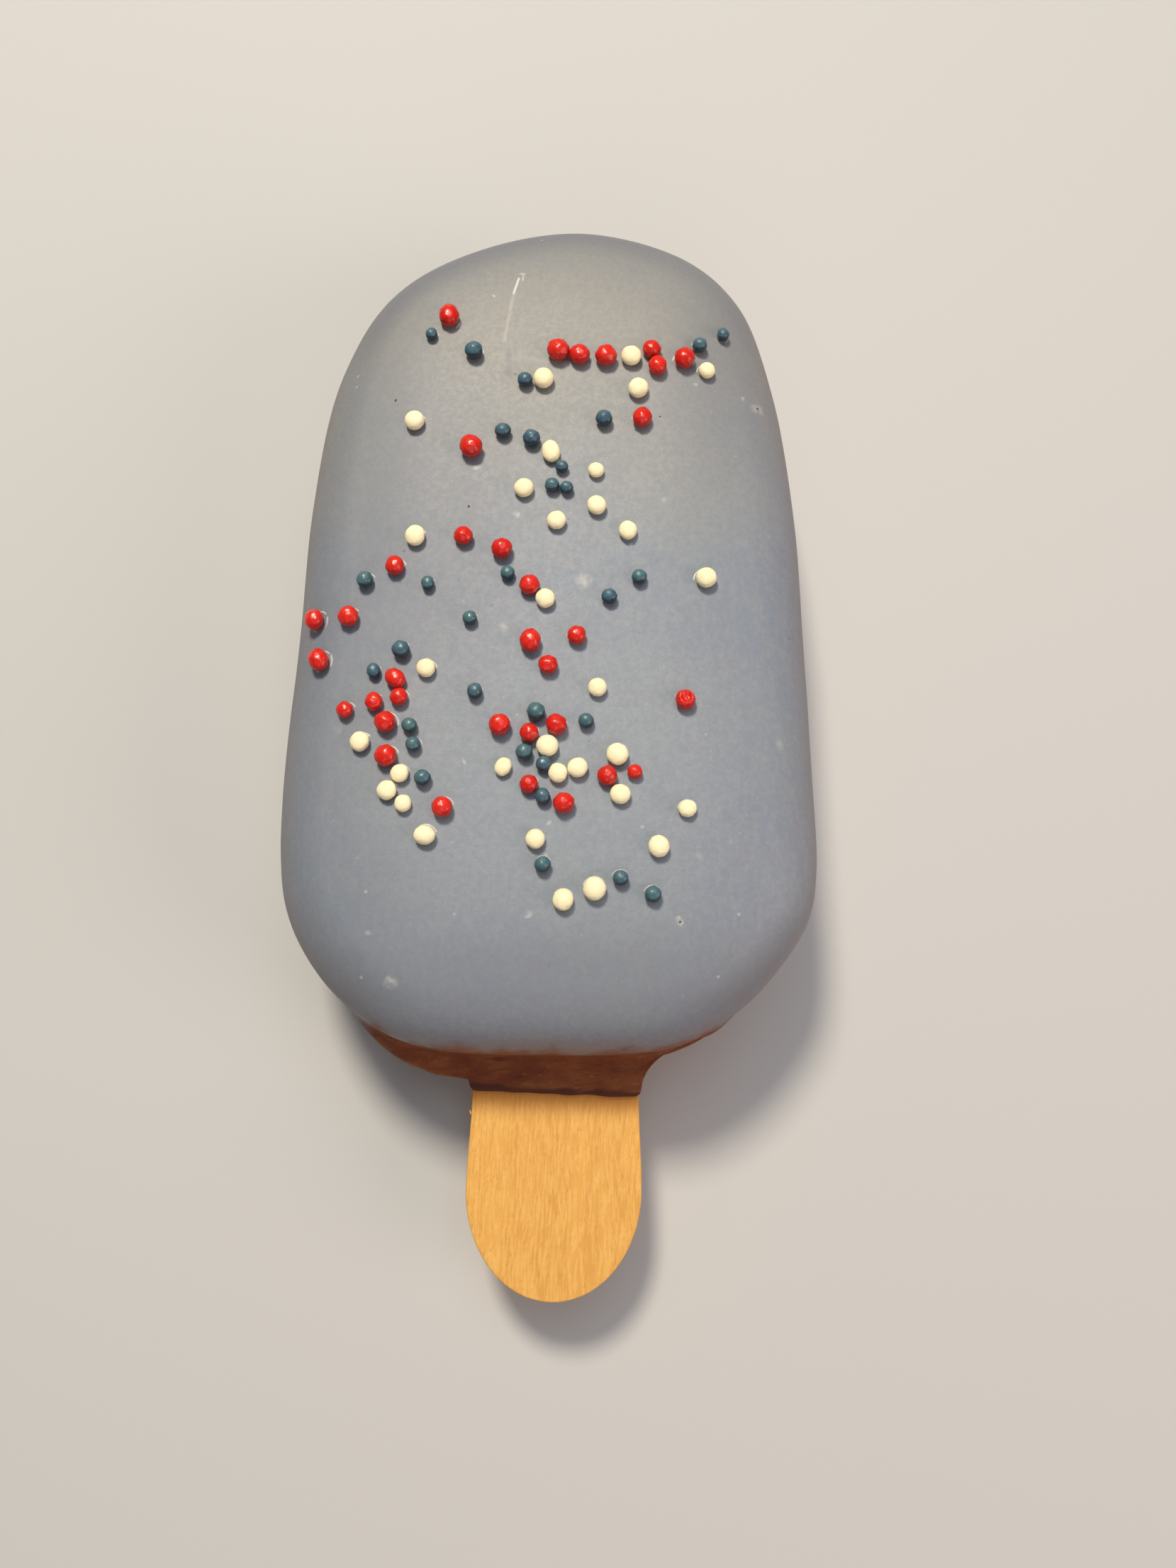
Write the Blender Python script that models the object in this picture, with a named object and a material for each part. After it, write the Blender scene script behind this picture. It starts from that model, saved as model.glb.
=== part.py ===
"""A bar-shaped cake pop in a moulded candy coating, on a flat wooden stick, lying on its flat back.

Metres, +Z up. +X runs across the bar and +Y along it, away from the stick. The back rests on Z = 0, and
the origin is under the middle of the whole. The shapes are first drawn about the stick's centre line,
with Y = 0 at the lower end of the cake, and an empty then carries them to the origin.
"""

import math

import bmesh
import bpy
import numpy as np
from mathutils import Vector

MM = 0.001

# Outline of the cake where its front edge starts to round over. Each station is the distance up from
# the lower end, then how far the left and the right edge lie from the stick's centre line.
EDGE_STATIONS = (
    (1.0 * MM, 14.0 * MM, 11.5 * MM),
    (4.5 * MM, 20.0 * MM, 17.6 * MM),
    (8.5 * MM, 23.6 * MM, 21.4 * MM),
    (13.0 * MM, 25.9 * MM, 24.2 * MM),
    (18.0 * MM, 26.8 * MM, 25.0 * MM),
    (26.0 * MM, 27.0 * MM, 24.8 * MM),
    (40.0 * MM, 26.4 * MM, 24.2 * MM),
    (54.0 * MM, 26.0 * MM, 23.5 * MM),
    (68.0 * MM, 24.0 * MM, 21.5 * MM),
    (77.5 * MM, 19.4 * MM, 18.2 * MM),
    (83.0 * MM, 11.6 * MM, 12.3 * MM),
)
LOWER_END = (-0.5 * MM, 0.0)
TOP_END = (1.0 * MM, 86.0 * MM)

# Section of the cake, from its flat back to its crowned face
THICKNESS = 24.0 * MM
CROWN_RISE = 1.3 * MM
FRONT_RADIUS = 7.5 * MM
WALL_DRAFT = math.radians(2.0)
FACE_EDGE_TILT = math.radians(8.0)
FOOT_REACH = 0.3 * MM
FOOT_HEIGHT = 1.0 * MM
FOOT_EDGE = 0.2 * MM
COLUMNS = 112
FILLET_STEPS = 8
CROWN_SCALES = (0.85, 0.66, 0.44, 0.22)

# Flat stick, waisted between its two rounded ends
STICK_LENGTH = 93.0 * MM
STICK_THICKNESS = 2.0 * MM
STICK_UNDERSIDE = 7.7 * MM
STICK_TIP = -23.0 * MM
STICK_END_HALF_WIDTH = 8.5 * MM
STICK_WAIST_HALF_WIDTH = 8.17 * MM
STICK_END_HEIGHT = 10.2 * MM
STICK_SHOULDER = 9.0 * MM
STICK_EDGE = 0.15 * MM
STICK_STEPS = 18
SLOT_GAP = 0.3 * MM

# Collar of coating that follows the stick out of the cake: its end slants a little, and its sides
# sweep out to the cake, tightly on the right and in a long slope on the left
COLLAR_COAT = 0.9 * MM
COLLAR_EDGE = 0.6 * MM
COLLAR_ROOT = 9.0 * MM
COLLAR_CORNER_RADIUS = 0.9 * MM
COLLAR_END_LEFT = (-8.3 * MM, -3.5 * MM)
COLLAR_END_RIGHT = (8.3 * MM, -4.0 * MM)
LEFT_SWEEP = ((-8.5 * MM, -2.5 * MM), (-17.0 * MM, -2.3 * MM), (-23.0 * MM, 8.5 * MM))
RIGHT_SWEEP = ((8.4 * MM, -2.9 * MM), (8.9 * MM, 0.2 * MM), (14.5 * MM, 1.8 * MM))
SWEEP_STEPS = 8
CORNER_STEPS = 4


def remove_everything():
    for thing in list(bpy.data.objects):
        bpy.data.objects.remove(thing)


def make_material(name, colour, roughness):
    material = bpy.data.materials.new(name)
    material.use_nodes = True
    shader = material.node_tree.nodes["Principled BSDF"]
    shader.inputs["Base Color"].default_value = (*colour, 1.0)
    shader.inputs["Roughness"].default_value = roughness
    shader.inputs["Metallic"].default_value = 0.0
    return material


def coating_material():
    return make_material("candy_coating", (0.30, 0.33, 0.39), 0.42)


def wood_material():
    return make_material("stick_wood", (0.72, 0.47, 0.20), 0.62)


def smooth_loop(knots, count):
    """Closed centripetal spline through the knots, as points at equal spacing along it."""
    knots = np.asarray(knots)
    total = len(knots)
    dense = []
    for i in range(total):
        a, b, c, d = (knots[(i + k) % total] for k in (-1, 0, 1, 2))
        t0 = 0.0
        t1 = t0 + math.sqrt(np.linalg.norm(b - a))
        t2 = t1 + math.sqrt(np.linalg.norm(c - b))
        t3 = t2 + math.sqrt(np.linalg.norm(d - c))
        for t in np.linspace(t1, t2, 40, endpoint=False):
            ab = ((t1 - t) * a + (t - t0) * b) / (t1 - t0)
            bc = ((t2 - t) * b + (t - t1) * c) / (t2 - t1)
            cd = ((t3 - t) * c + (t - t2) * d) / (t3 - t2)
            abc = ((t2 - t) * ab + (t - t0) * bc) / (t2 - t0)
            bcd = ((t3 - t) * bc + (t - t1) * cd) / (t3 - t1)
            dense.append(((t2 - t) * abc + (t - t1) * bcd) / (t2 - t1))
    dense.append(dense[0])
    dense = np.array(dense)
    along = np.concatenate([[0.0], np.cumsum(np.linalg.norm(np.diff(dense, axis=0), axis=1))])
    wanted = np.linspace(0.0, along[-1], count, endpoint=False)
    return np.column_stack([np.interp(wanted, along, dense[:, k]) for k in (0, 1)])


def cake_edge():
    """The cake's outline in plan, anticlockwise from its lower end."""
    right = [(reach, up) for up, _, reach in EDGE_STATIONS]
    left = [(-reach, up) for up, reach, _ in reversed(EDGE_STATIONS)]
    return smooth_loop([LOWER_END, *right, TOP_END, *left], COLUMNS)


def outward(loop):
    """Unit normals of an anticlockwise loop."""
    step = np.roll(loop, -1, axis=0) - np.roll(loop, 1, axis=0)
    normal = np.column_stack([step[:, 1], -step[:, 0]])
    return normal / np.linalg.norm(normal, axis=1)[:, None]


def cake_rings():
    """Rings of points from the back to the face, each a closed loop in plan at one height or crowned."""
    edge = cake_edge()
    normal = outward(edge)
    arc_centre = THICKNESS - CROWN_RISE - FRONT_RADIUS * math.cos(FACE_EDGE_TILT)
    wall_slope = math.tan(WALL_DRAFT)
    levels = [
        (wall_slope * arc_centre + FOOT_REACH - FOOT_EDGE, 0.0),
        (wall_slope * arc_centre + FOOT_REACH, FOOT_EDGE),
        (wall_slope * arc_centre + FOOT_REACH, FOOT_HEIGHT - FOOT_EDGE),
        (wall_slope * (arc_centre - FOOT_HEIGHT), FOOT_HEIGHT),
    ]
    for angle in np.linspace(WALL_DRAFT, math.pi / 2 - FACE_EDGE_TILT, FILLET_STEPS):
        inset = FRONT_RADIUS * (1.0 - math.cos(angle))
        levels.append((-inset, arc_centre + FRONT_RADIUS * math.sin(angle)))
    rings = [np.column_stack([edge + normal * reach, np.full(COLUMNS, z)]) for reach, z in levels]
    rim = rings[-1]
    middle = rim.mean(axis=0)
    for scale in CROWN_SCALES:
        ring = middle + (rim - middle) * scale
        ring[:, 2] = rim[:, 2] + CROWN_RISE * (1.0 - scale**2)
        rings.append(ring)
    return rings, middle + np.array([0.0, 0.0, CROWN_RISE])


def mesh_object(name, mesh_data):
    mesh = bpy.data.meshes.new(name)
    mesh_data.to_mesh(mesh)
    mesh_data.free()
    thing = bpy.data.objects.new(name, mesh)
    bpy.context.scene.collection.objects.link(thing)
    return thing


def loft(name, rings, crown_point):
    """A closed body: a flat lid under the first ring, walls through them all, and a fan to the crown."""
    body = bmesh.new()
    loops = [[body.verts.new(point) for point in ring] for ring in rings]
    top = body.verts.new(crown_point)
    body.faces.new(reversed(loops[0]))
    count = len(loops[0])
    for lower, upper in zip(loops, loops[1:]):
        for i in range(count):
            j = (i + 1) % count
            body.faces.new((lower[i], lower[j], upper[j], upper[i]))
    for i in range(count):
        body.faces.new((loops[-1][i], loops[-1][(i + 1) % count], top))
    return mesh_object(name, body)


def slab(name, plan, low, high):
    """A flat plate: the anticlockwise plan, raised from one height to another."""
    body = bmesh.new()
    base = body.faces.new([body.verts.new((x, y, low)) for x, y in plan])
    raised = bmesh.ops.extrude_face_region(body, geom=[base])["geom"]
    corners = [item for item in raised if isinstance(item, bmesh.types.BMVert)]
    bmesh.ops.translate(body, verts=corners, vec=Vector((0.0, 0.0, high - low)))
    bmesh.ops.recalc_face_normals(body, faces=body.faces)
    return mesh_object(name, body)


def sweep(start, bend, end):
    """Points of a quadratic curve from start to end, pulled towards bend."""
    start, bend, end = (np.array(point) for point in (start, bend, end))
    steps = np.linspace(0.0, 1.0, SWEEP_STEPS)
    return [(1 - t) ** 2 * start + 2 * t * (1 - t) * bend + t**2 * end for t in steps]


def rounded_corner(corner, centre_side, first_angle):
    """A quarter circle that rounds the collar's outer corner, anticlockwise from first_angle."""
    centre = np.array(corner) + COLLAR_CORNER_RADIUS * np.array(centre_side)
    angles = first_angle + np.linspace(0.0, math.pi / 2, CORNER_STEPS)
    return [centre + COLLAR_CORNER_RADIUS * np.array((math.cos(a), math.sin(a))) for a in angles]


def collar_plan():
    """The collar from above, anticlockwise from its left root inside the cake."""
    left_root = (LEFT_SWEEP[-1][0], COLLAR_ROOT)
    right_root = (RIGHT_SWEEP[-1][0], COLLAR_ROOT)
    left_side = sweep(*reversed(LEFT_SWEEP))
    right_side = sweep(*RIGHT_SWEEP)
    left_corner = rounded_corner(COLLAR_END_LEFT, (1.0, 1.0), math.pi)
    right_corner = rounded_corner(COLLAR_END_RIGHT, (-1.0, 1.0), -math.pi / 2)
    return [left_root, *left_side, *left_corner, *right_corner, *right_side, right_root]


def stick_half_width(distance_from_end):
    """Half-width of the stick's straight part: it narrows over the shoulder to the waist."""
    share = min(max(distance_from_end / STICK_SHOULDER, 0.0), 1.0)
    eased = share * share * (3.0 - 2.0 * share)
    return STICK_END_HALF_WIDTH + (STICK_WAIST_HALF_WIDTH - STICK_END_HALF_WIDTH) * eased


def stick_plan(margin=0.0):
    """The stick from above, anticlockwise, grown by margin on every side."""
    lower = STICK_TIP + STICK_END_HEIGHT
    upper = STICK_TIP + STICK_LENGTH - STICK_END_HEIGHT
    half = STICK_END_HALF_WIDTH + margin
    height = STICK_END_HEIGHT + margin
    plan = []
    for angle in np.linspace(math.pi, 2 * math.pi, STICK_STEPS):
        plan.append((half * math.cos(angle), lower + height * math.sin(angle)))
    shoulder = np.linspace(0.0, STICK_SHOULDER, 7)[1:]
    right = [(stick_half_width(d) + margin, lower + d) for d in shoulder]
    right += [(stick_half_width(d) + margin, upper - d) for d in reversed(shoulder)]
    plan += right
    for angle in np.linspace(0.0, math.pi, STICK_STEPS):
        plan.append((half * math.cos(angle), upper + height * math.sin(angle)))
    return plan + [(-x, y) for x, y in reversed(right)]


def bevel(thing, width, segments):
    modifier = thing.modifiers.new("Bevel", "BEVEL")
    modifier.width = width
    modifier.segments = segments
    modifier.limit_method = "ANGLE"
    modifier.angle_limit = math.radians(60.0)


def combine(thing, other, operation):
    """Adds a Boolean with a guide that stays out of sight."""
    modifier = thing.modifiers.new(other.name, "BOOLEAN")
    modifier.operation = operation
    modifier.solver = "EXACT"
    modifier.object = other
    other.hide_render = True
    other.display_type = "WIRE"


def shade(thing, material, sharp_angle):
    thing.data.materials.append(material)
    thing.data.shade_smooth()
    thing.data.set_sharp_from_angle(angle=sharp_angle)


def make_stick():
    stick = slab("stick", stick_plan(), STICK_UNDERSIDE, STICK_UNDERSIDE + STICK_THICKNESS)
    bevel(stick, STICK_EDGE, 1)
    shade(stick, wood_material(), math.radians(30.0))
    return stick


def make_collar_guide():
    low = STICK_UNDERSIDE - COLLAR_COAT
    high = STICK_UNDERSIDE + STICK_THICKNESS + COLLAR_COAT
    collar = slab("collar_guide", collar_plan(), low, high)
    bevel(collar, COLLAR_EDGE, 2)
    return collar


def make_slot_cutter():
    low = STICK_UNDERSIDE - SLOT_GAP
    high = STICK_UNDERSIDE + STICK_THICKNESS + SLOT_GAP
    return slab("stick_slot", stick_plan(SLOT_GAP), low, high)


def make_cake():
    rings, crown_point = cake_rings()
    cake = loft("coated_cake", rings, crown_point)
    collar = make_collar_guide()
    slot = make_slot_cutter()
    combine(cake, collar, "UNION")
    combine(cake, slot, "DIFFERENCE")
    shade(cake, coating_material(), math.radians(40.0))
    return cake, collar, slot


def centre_over_origin(things):
    """Parents the things to an empty, placed so that the origin is under the middle of the whole."""
    corners = np.array([corner for thing in things for corner in thing.bound_box])
    middle = (corners.min(axis=0) + corners.max(axis=0)) / 2
    empty = bpy.data.objects.new("cake_pop", None)
    bpy.context.scene.collection.objects.link(empty)
    empty.location = (-middle[0], -middle[1], 0.0)
    return empty


def main():
    remove_everything()
    cake, collar, slot = make_cake()
    stick = make_stick()
    bpy.context.view_layer.update()
    empty = centre_over_origin([cake, stick])
    for thing in (cake, collar, slot, stick):
        thing.parent = empty


main()
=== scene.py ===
import math
import random

import bpy
import numpy as np
from mathutils import Euler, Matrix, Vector, noise
from mathutils.bvhtree import BVHTree


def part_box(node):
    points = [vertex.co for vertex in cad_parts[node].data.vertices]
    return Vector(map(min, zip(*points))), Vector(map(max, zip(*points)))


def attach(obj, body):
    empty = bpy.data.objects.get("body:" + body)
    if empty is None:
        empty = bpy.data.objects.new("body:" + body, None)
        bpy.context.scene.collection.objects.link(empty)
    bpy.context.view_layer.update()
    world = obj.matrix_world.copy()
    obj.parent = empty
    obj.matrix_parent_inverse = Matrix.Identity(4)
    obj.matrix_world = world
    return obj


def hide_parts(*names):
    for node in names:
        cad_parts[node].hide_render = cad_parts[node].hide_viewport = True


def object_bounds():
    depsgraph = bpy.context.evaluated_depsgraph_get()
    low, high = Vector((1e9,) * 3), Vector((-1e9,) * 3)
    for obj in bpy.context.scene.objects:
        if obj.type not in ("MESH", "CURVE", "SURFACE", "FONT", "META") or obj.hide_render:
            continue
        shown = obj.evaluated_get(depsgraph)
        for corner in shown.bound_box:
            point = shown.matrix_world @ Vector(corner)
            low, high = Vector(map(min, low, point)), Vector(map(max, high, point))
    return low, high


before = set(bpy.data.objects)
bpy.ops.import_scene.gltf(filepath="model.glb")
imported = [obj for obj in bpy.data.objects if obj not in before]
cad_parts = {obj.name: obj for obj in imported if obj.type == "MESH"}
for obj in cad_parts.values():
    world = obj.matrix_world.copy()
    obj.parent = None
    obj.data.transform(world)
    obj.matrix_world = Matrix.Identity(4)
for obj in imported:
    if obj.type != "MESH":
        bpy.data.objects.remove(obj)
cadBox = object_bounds()
mm = 0.001

# places come from the frame: the stick's middle line, and the cake's lower end on that line
stickLow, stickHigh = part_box("stick")
stickMiddle = (stickLow + stickHigh) / 2
stickBelowCake = 23.0 * mm


def fromCakeEnd(x, y):
    # a point in plan, given in millimetres from the cake's lower end
    return np.array((stickMiddle.x + x * mm, stickLow.y + stickBelowCake + y * mm))


def ease(share):
    share = np.clip(share, 0.0, 1.0)
    return share * share * (3.0 - 2.0 * share)


def unevenness(points, size, seed):
    # soft noise from -1 to 1, one value for each point
    shift = Vector((7.1, 3.7, 1.3)) * seed
    return np.array([noise.noise(Vector(point) / size + shift) for point in points])


def evenly(line, count):
    along = np.concatenate([[0.0], np.cumsum(np.linalg.norm(np.diff(line, axis=0), axis=1))])
    wanted = np.linspace(0.0, along[-1], count)
    return np.column_stack([np.interp(wanted, along, line[:, axis]) for axis in (0, 1)])


def outward(loop):
    step = np.roll(loop, -1, axis=0) - np.roll(loop, 1, axis=0)
    normal = np.column_stack([step[:, 1], -step[:, 0]])
    return normal / np.linalg.norm(normal, axis=1)[:, None]


def meshPiece(name, points, faces):
    mesh = bpy.data.meshes.new(name)
    mesh.from_pydata([tuple(point) for point in points], [], faces)
    mesh.update()
    mesh.shade_smooth()
    piece = bpy.data.objects.new(name, mesh)
    bpy.context.scene.collection.objects.link(piece)
    return piece


def wallFaces(ringCount, columns, first):
    # quads between stacked closed rings, each of the same number of points
    faces = []
    for ring in range(ringCount - 1):
        low = first + ring * columns
        for column in range(columns):
            beside = (column + 1) % columns
            faces.append((low + column, low + beside, low + columns + beside, low + columns + column))
    return faces


def closedShell(ringCount, columns):
    # faces of stacked rings that close on a point at either end, the first and the last of the points
    faces = wallFaces(ringCount, columns, 1)
    last = ringCount * columns + 1
    for column in range(columns):
        beside = (column + 1) % columns
        faces.append((0, 1 + beside, 1 + column))
        faces.append((last - columns + column, last - columns + beside, last))
    return faces


# The candy coating: the moulded bar with its foot, its rounded front edge and the collar round the stick
coating = {
    "frontRadius": 7.5 * mm,
    "crownRise": 1.3 * mm,
    "wallDraft": math.radians(2.0),
    "faceEdgeTilt": math.radians(8.0),
    "rollShare": 0.55,            # how much of the crown's rise is in the roll-off near its rim
    "rollReach": 12.0 * mm,
    "rollPower": 2.6,
    "footReach": 0.3 * mm,
    "footHeight": 1.0 * mm,
    "footEdge": 0.2 * mm,
    "footUneven": 0.22 * mm,
    "backHollow": 0.25 * mm,
    "collarCoat": 0.9 * mm,
    "collarEndRound": 0.45 * mm,
    "collarRootRound": 1.4 * mm,
    "collarReach": 3.9 * mm,
    "webSpread": 5.5 * mm,        # how far the side webs slope away above and below the stick
    # unevenness of the surface: how deep, how broad and the noise's seed
    "broadWaves": (0.07 * mm, 16 * mm, 1),
    "fineWaves": (0.018 * mm, 4 * mm, 2),
    "collarWaves": (0.12 * mm, 2.2 * mm, 5),
    "edgePoints": 4000,
}
coating["filletCentre"] = (cadBox[1].z - coating["crownRise"]
                           - coating["frontRadius"] * math.cos(coating["faceEdgeTilt"]))
coating["footSpread"] = math.tan(coating["wallDraft"]) * coating["filletCentre"] + coating["footReach"]


def closedSpline(knots, count):
    before, after, beyond = (np.roll(knots, shift, axis=0) for shift in (1, -1, -2))
    spans = []
    for t in np.linspace(0.0, 1.0, 12, endpoint=False):
        spans.append(0.5 * (2 * knots + (after - before) * t
                            + (2 * before - 5 * knots + 4 * after - beyond) * t**2
                            + (3 * knots - before - 3 * after + beyond) * t**3))
    dense = np.stack(spans, axis=1).reshape(-1, 2)
    return evenly(np.vstack([dense, dense[:1]]), count + 1)[:-1]


def cakeEdge(count):
    # the cake's edge in plan: the CAD's foot line, drawn in by what the foot and the draft add to it
    corners = np.array([vertex.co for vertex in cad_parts["coated_cake"].data.vertices])
    onFoot = (corners[:, 2] > 0.1 * mm) & (corners[:, 2] < 0.5 * mm)
    foot = np.unique(np.round(corners[onFoot][:, :2], 6), axis=0)
    spokes = foot - foot.mean(axis=0)
    foot = foot[np.argsort(np.arctan2(spokes[:, 1], spokes[:, 0]))]
    line = closedSpline(foot, count)
    line = line - outward(line) * coating["footSpread"]
    return np.roll(line, -int(np.argmax(line[:, 1])), axis=0)


def sweep(start, pull, end, steps=24):
    start, pull, end = (fromCakeEnd(*point) for point in (start, pull, end))
    return np.array([(1 - t) ** 2 * start + 2 * t * (1 - t) * pull + t**2 * end
                     for t in np.linspace(0.0, 1.0, steps)])


def corner(x, y, radius, fromAngle, toAngle):
    angles = np.radians(np.linspace(fromAngle, toAngle, 10))
    return np.array([fromCakeEnd(x + radius * math.cos(a), y + radius * math.sin(a)) for a in angles])


# The collar in plan, in millimetres from the cake's lower end: where the webs leave the cake's edge, the
# parts of that edge behind the collar's sides, the webs' curves, the corners and the end line
collar = {
    "webStart": (-21.6, 6.1),
    "webEnd": (18.8, 5.7),
    "behindLeft": ((-9.1, 0.6), (-7.7, 0.3)),
    "behindRight": ((7.7, 0.3), (8.9, 0.6)),
    "leftWeb": ((-21.1, 5.4), (-17.6, -2.0), (-8.5, -2.5)),
    "leftCorner": (-7.75, -2.95, 0.6),
    "endLine": ((-7.75, -3.55), (-2.0, -3.75), (7.7, -4.0)),
    "rightCorner": (7.7, -3.3, 0.7),
    "rightWeb": (((8.4, -2.9), (8.9, 0.2), (14.5, 1.8)), ((14.5, 1.8), (16.6, 2.4), (18.6, 5.5))),
}


def coatingColumns():
    # For each column of the wall: its place on the plain edge, its place on the edge with the collar,
    # and how far it is from the collar (0 beside the stick, 1 on the plain bar). Anticlockwise from the top.
    edge = cakeEdge(coating["edgePoints"])

    def nearest(x, y):
        return int(np.argmin(np.linalg.norm(edge - fromCakeEnd(x, y), axis=1)))

    webStart, webEnd = nearest(*collar["webStart"]), nearest(*collar["webEnd"])
    leftSide, leftEnd = (nearest(*point) for point in collar["behindLeft"])
    rightEnd, rightSide = (nearest(*point) for point in collar["behindRight"])
    leftWeb = np.vstack([edge[webStart], sweep(*collar["leftWeb"])])
    leftCorner = np.vstack([leftWeb[-1], corner(*collar["leftCorner"], 180, 270)])
    endLine = np.array([fromCakeEnd(*point) for point in collar["endLine"]])
    lower, upper = collar["rightWeb"]
    rightCorner = np.vstack([corner(*collar["rightCorner"], -90, 0), fromCakeEnd(*lower[0])])
    rightWeb = np.vstack([sweep(*lower), sweep(*upper)[1:], edge[webEnd]])
    # from and to on the plain edge, the collar's own line, how many columns, and how far from the collar
    stretches = [
        (0, webStart, None, 150, (1.0, 1.0)),
        (webStart, leftSide, leftWeb, 44, (1.0, 0.0)),
        (leftSide, leftEnd, leftCorner, 12, (0.0, 0.0)),
        (leftEnd, rightEnd, endLine, 44, (0.0, 0.0)),
        (rightEnd, rightSide, rightCorner, 12, (0.0, 0.0)),
        (rightSide, webEnd, rightWeb, 34, (0.0, 1.0)),
        (webEnd, len(edge), None, 150, (1.0, 1.0)),
    ]
    plain, collared, apart = [], [], []
    for first, last, line, count, farness in stretches:
        picked = edge[np.linspace(first, last, count, endpoint=False).astype(int) % len(edge)]
        plain.append(picked)
        collared.append(picked if line is None else evenly(line, count + 1)[:-1])
        apart.append(np.linspace(*farness, count, endpoint=False))
    return np.vstack(plain), np.vstack(collared), ease(np.concatenate(apart))


def collarProfile():
    # the collar's section, from the wall below the stick round its end to the wall above: pairs of
    # how far out (0 at the wall, 1 at the collar's end) and height
    half = (stickHigh.z - stickLow.z) / 2 + coating["collarCoat"]
    reach = coating["collarReach"]
    endRound, rootRound = coating["collarEndRound"], coating["collarRootRound"]
    upper = [(1.0, half * share) for share in (0.0, 0.25, 0.5)]
    for angle in np.linspace(0.0, math.pi / 2, 7):
        inward = endRound * (1 - math.cos(angle))
        upper.append((1 - inward / reach, half - endRound + endRound * math.sin(angle)))
    for share in (0.2, 0.4, 0.6, 0.8):
        inward = endRound + (reach - endRound - rootRound) * share
        upper.append((1 - inward / reach, half))
    for angle in np.linspace(0.0, math.pi / 2, 8):
        inward = reach - rootRound + rootRound * math.sin(angle)
        upper.append((1 - inward / reach, half + rootRound - rootRound * math.cos(angle)))
    lower = [(out, -height) for out, height in reversed(upper[1:])]
    return np.array(lower + upper) + np.array((0.0, stickMiddle.z))


def coatingRings():
    plain, collared, apart = coatingColumns()
    normal = outward(plain)
    columns = len(plain)
    slope = math.tan(coating["wallDraft"])
    centre, radius = coating["filletCentre"], coating["frontRadius"]
    spread, footEdge, footHeight = (coating[key] for key in ("footSpread", "footEdge", "footHeight"))
    bottomAround = np.column_stack([plain, np.zeros(columns)])
    footNoise = (coating["footUneven"] * unevenness(bottomAround, 9 * mm, 3)
                 + 0.5 * coating["footUneven"] * unevenness(bottomAround, 2.5 * mm, 4))

    def ring(reach, height):
        return np.column_stack([plain + normal * np.broadcast_to(reach, columns)[:, None],
                                np.broadcast_to(height, columns)])

    rings = []
    base = ring(spread - footEdge + 0.6 * footNoise, 0.0)
    middle = base.mean(axis=0)
    for share in (0.12, 0.3, 0.5, 0.7, 0.85, 0.93, 0.97):
        inner = middle + (base - middle) * share
        inner[:, 2] = coating["backHollow"] * ease((0.97 - share) / 0.2)
        rings.append(inner)
    rings.append(base)
    rings += [ring(reach, height) for reach, height in (
        (spread + 0.9 * footNoise, 0.4 * footEdge),
        (spread + footNoise, footEdge),
        (spread + footNoise, footHeight - footEdge + 0.8 * footNoise),
        (spread - 0.5 * coating["footReach"] + 0.5 * footNoise, footHeight + 0.8 * footNoise),
        (slope * (centre - 1.4 * footHeight), 1.4 * footHeight + 0.5 * footNoise),
        (slope * (centre - 2.2 * mm), 2.2 * mm),
    )]
    profile = collarProfile()
    webLow, webHigh = stickMiddle.z - coating["webSpread"], stickMiddle.z + coating["webSpread"]
    for step, (out, height) in enumerate(profile):
        evenHeight = webLow + (webHigh - webLow) * step / (len(profile) - 1)
        webOut = ease(1.15 * (1 - abs(evenHeight - stickMiddle.z) / coating["webSpread"]))
        heights = height + (evenHeight - height) * apart
        outs = (out + (webOut - out) * apart)[:, None]
        wall = plain + normal * (slope * (centre - heights))[:, None]
        rings.append(np.column_stack([wall * (1 - outs) + collared * outs, heights]))
    rings.append(ring(slope * (centre - 14.8 * mm), 14.8 * mm))
    corners = [vertex.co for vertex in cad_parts["coated_cake"].data.vertices]
    apex = np.array(max(corners, key=lambda point: point.z))
    roll, rollReach, rollPower = (coating[key] for key in ("rollShare", "rollReach", "rollPower"))
    toApex = np.linalg.norm(plain - apex[:2], axis=1) - 0.8 * radius
    tilt = np.arctan(coating["crownRise"] * (roll * rollPower / rollReach + (1 - roll) * 2 / toApex))
    for step in np.linspace(0.0, 1.0, 20):
        angle = coating["wallDraft"] + (math.pi / 2 - tilt - coating["wallDraft"]) * step
        rings.append(ring(-radius * (1 - np.cos(angle)), centre + radius * np.sin(angle)))
    rim = rings[-1]
    toApex = np.linalg.norm(rim[:, :2] - apex[:2], axis=1)
    for share in np.linspace(1.0, 0.0, 48)[1:-1]:
        inner = apex + (rim - apex) * share
        rolled = 1 - np.clip(1 - (1 - share) * toApex / rollReach, 0.0, 1.0) ** rollPower
        inner[:, 2] = rim[:, 2] + (apex[2] - rim[:, 2]) * (roll * rolled + (1 - roll) * (1 - share**2))
        rings.append(inner)
    return rings, middle + np.array((0.0, 0.0, coating["backHollow"])), apex


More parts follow.
